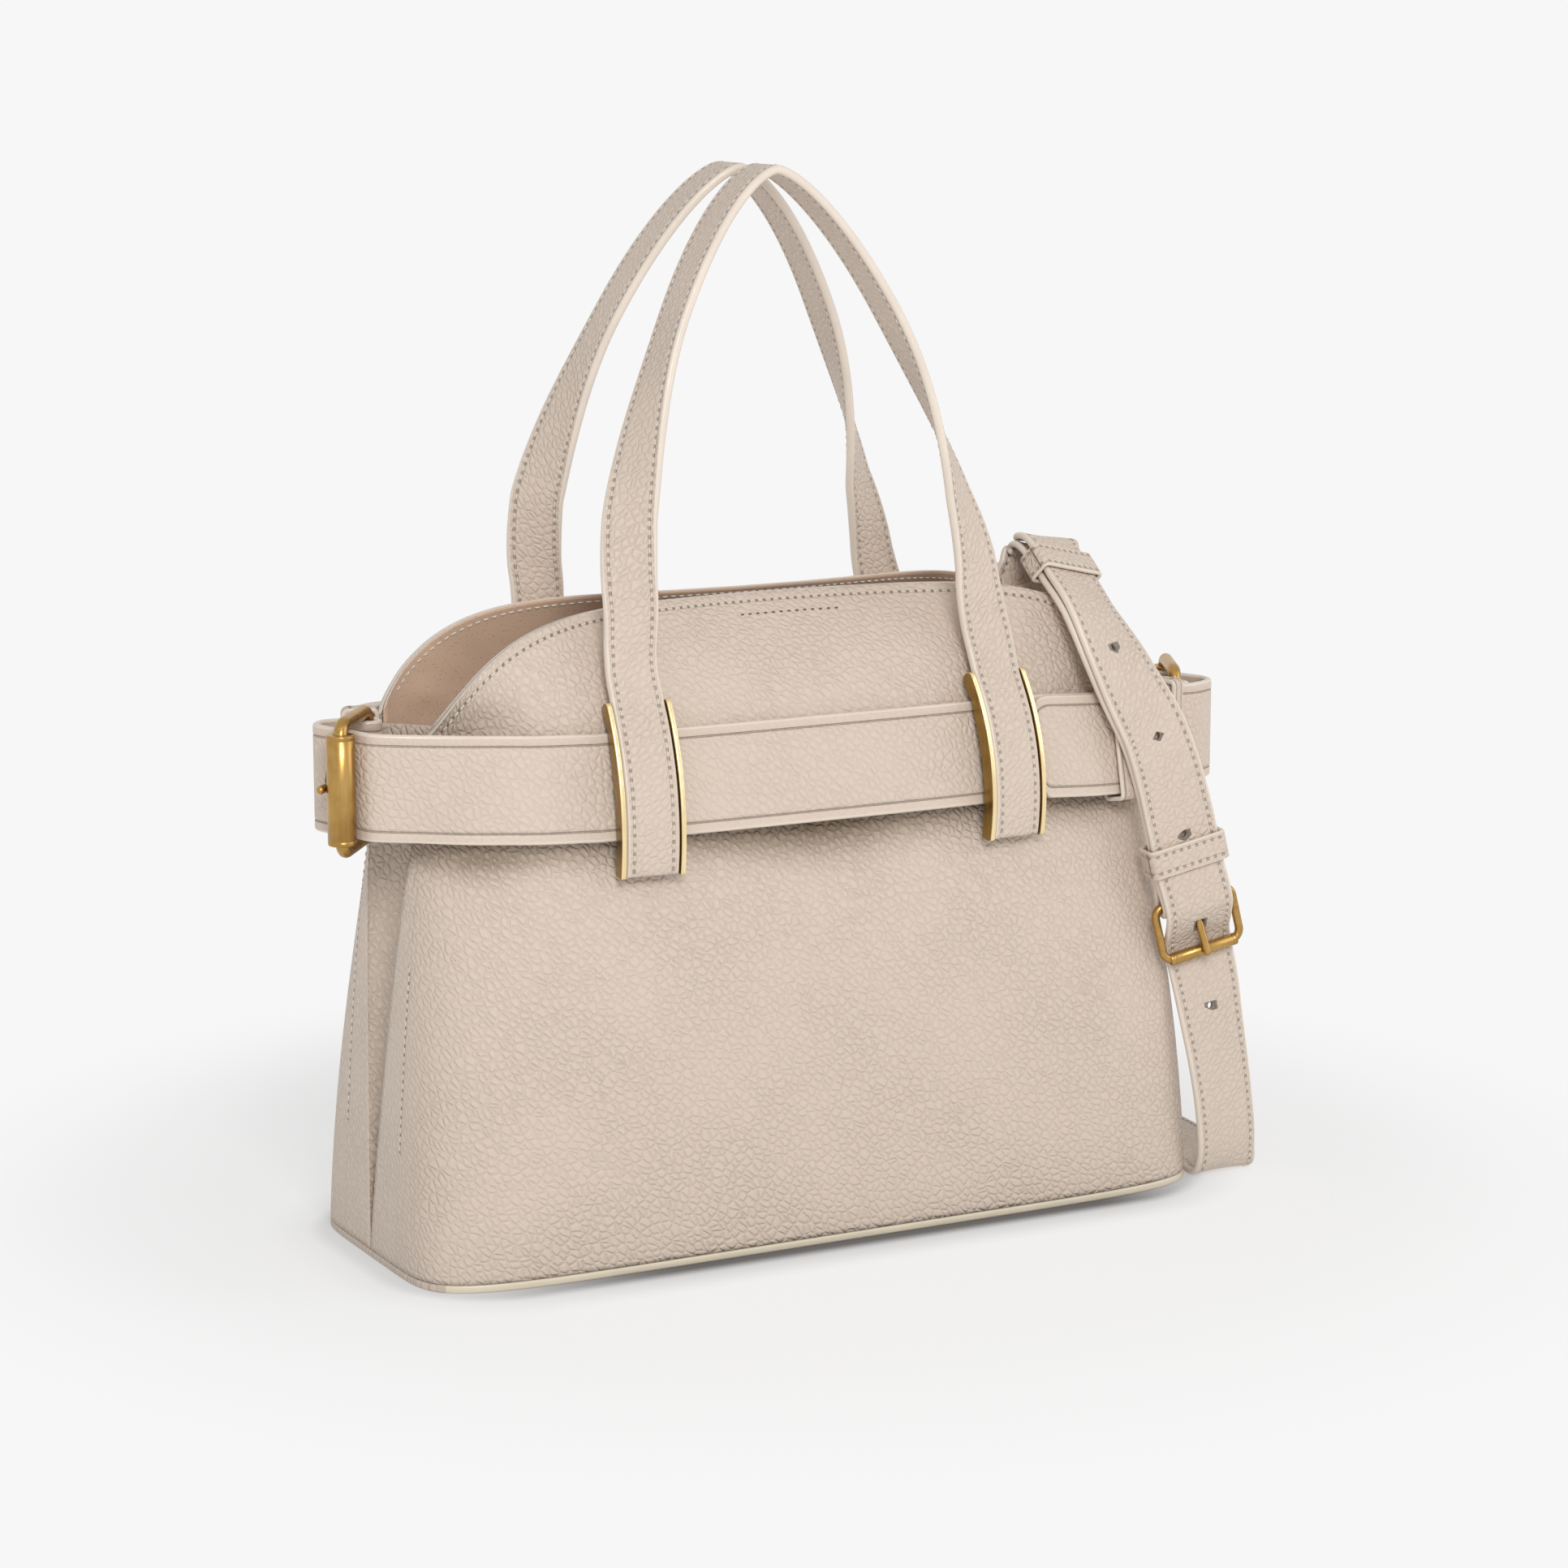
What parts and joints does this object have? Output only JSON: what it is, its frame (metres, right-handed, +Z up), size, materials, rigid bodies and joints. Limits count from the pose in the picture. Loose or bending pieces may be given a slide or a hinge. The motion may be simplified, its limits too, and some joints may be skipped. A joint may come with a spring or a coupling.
{
  "type": "top handle bag",
  "caption": "Soft leather bag with an arched rim, side buckles on a belt threaded under curved metal brackets, swinging top handles and a draped shoulder strap.",
  "frame": {"origin": "centre of the base, on the surface the bag stands on", "axes": "+Z up, -Y the front with the tip of the belt at the right, +X the right end of the bag"},
  "size_m": [0.3821, 0.1272, 0.3863],
  "materials": {
    "leather": "pebbled matt grain",
    "base_leather": "pebbled matt grain",
    "brass": "warm aged polish",
    "lining": "smooth woven",
    "board": "smooth"
  },
  "bodies": {
    "bag": {"front_panel": "leather", "back_panel": "leather", "front_belt": "leather", "back_belt": "leather", "front_tip_keeper": "leather", "back_tip_keeper": "leather", "right_buckle_keeper": "leather", "left_buckle_keeper": "leather", "front_left_tab": "leather", "front_right_tab": "leather", "back_left_tab": "leather", "back_right_tab": "leather", "strap_buckle_side": "leather", "strap_hole_side": "leather", "strap_fixed_keeper": "leather", "left_ring_tab": "leather", "right_ring_tab": "leather", "left_gusset": "leather", "right_gusset": "leather", "magnet_front": "brass", "magnet_back": "brass", "left_buckle_frame": "brass", "right_buckle_frame": "brass", "front_left_bracket": "brass", "front_right_bracket": "brass", "back_left_bracket": "brass", "back_right_bracket": "brass", "strap_buckle_frame": "brass", "right_d_ring": "brass", "hook_front": "brass", "hook_back": "brass", "base_panel": "base_leather", "base_board": "board", "lining": "lining"},
    "front_handle": {"front_handle": "leather"},
    "back_handle": {"back_handle": "leather"},
    "left_roller": {"left_buckle_roller": "brass"},
    "right_roller": {"right_buckle_roller": "brass"},
    "left_prong": {"left_buckle_prong": "brass"},
    "right_prong": {"right_buckle_prong": "brass"},
    "strap_roller": {"strap_buckle_roller": "brass"},
    "strap_prong": {"strap_buckle_prong": "brass"},
    "left_ring": {"left_d_ring": "brass"},
    "sliding_keeper": {"strap_sliding_keeper": "leather"},
    "front_gate": {"gate_front": "brass"},
    "back_gate": {"gate_back": "brass"}
  },
  "joints": [
    {"name": "front_handle_swing", "type": "hinge", "parent": "bag", "child": "front_handle", "pos_m": [0, -0.0418, 0.20535], "axis": [1, 0, 0], "range_deg": [0, 120]},
    {"name": "back_handle_swing", "type": "hinge", "parent": "bag", "child": "back_handle", "pos_m": [0, 0.0418, 0.20535], "axis": [-1, 0, 0], "range_deg": [0, 120]},
    {"name": "left_roller_spin", "type": "hinge", "parent": "bag", "child": "left_roller", "pos_m": [-0.1763, -0.0229, 0.17627], "axis": [0, 0, 1], "continuous": true},
    {"name": "right_roller_spin", "type": "hinge", "parent": "bag", "child": "right_roller", "pos_m": [0.18196, 0.01223, 0.16838], "axis": [0, 0, 1], "continuous": true},
    {"name": "strap_roller_spin", "type": "hinge", "parent": "bag", "child": "strap_roller", "pos_m": [0.15703, -0.05633, 0.0908], "axis": [0.9599, -0.1501, 0.2367], "continuous": true},
    {"name": "left_prong_lift", "type": "hinge", "parent": "bag", "child": "left_prong", "pos_m": [-0.1555, 0.004, 0.17627], "axis": [0, 0, -1], "range_deg": [0, 5]},
    {"name": "right_prong_lift", "type": "hinge", "parent": "bag", "child": "right_prong", "pos_m": [0.167, -0.0183, 0.16838], "axis": [0, 0, -1], "range_deg": [0, 5]},
    {"name": "strap_prong_lift", "type": "hinge", "parent": "bag", "child": "strap_prong", "pos_m": [0.1521, -0.0557, 0.1112], "axis": [-0.9599, 0.1501, -0.2367], "range_deg": [0, 5]},
    {"name": "left_ring_swing", "type": "hinge", "parent": "bag", "child": "left_ring", "pos_m": [-0.1165, 0, 0.177], "axis": [0, 1, 0], "range_deg": [-110, 0]},
    {"name": "keeper_slide", "type": "slide", "parent": "bag", "child": "sliding_keeper", "axis": [0.0458, -0.7786, -0.6259], "range_m": [-0.001, 0.004]},
    {"name": "front_gate_open", "type": "hinge", "parent": "bag", "child": "front_gate", "pos_m": [0.1108, -0.0047, 0.19646], "axis": [-0.0117, -0.9985, 0.0529], "range_deg": [0, 22], "stiffness_Nm_per_rad": 0.004, "springref_deg": -11.46},
    {"name": "back_gate_open", "type": "hinge", "parent": "bag", "child": "back_gate", "pos_m": [0.11081, 0.0085, 0.19519], "axis": [-0.0598, -0.9633, 0.2616], "range_deg": [0, 22], "stiffness_Nm_per_rad": 0.004, "springref_deg": -11.46}
  ]
}
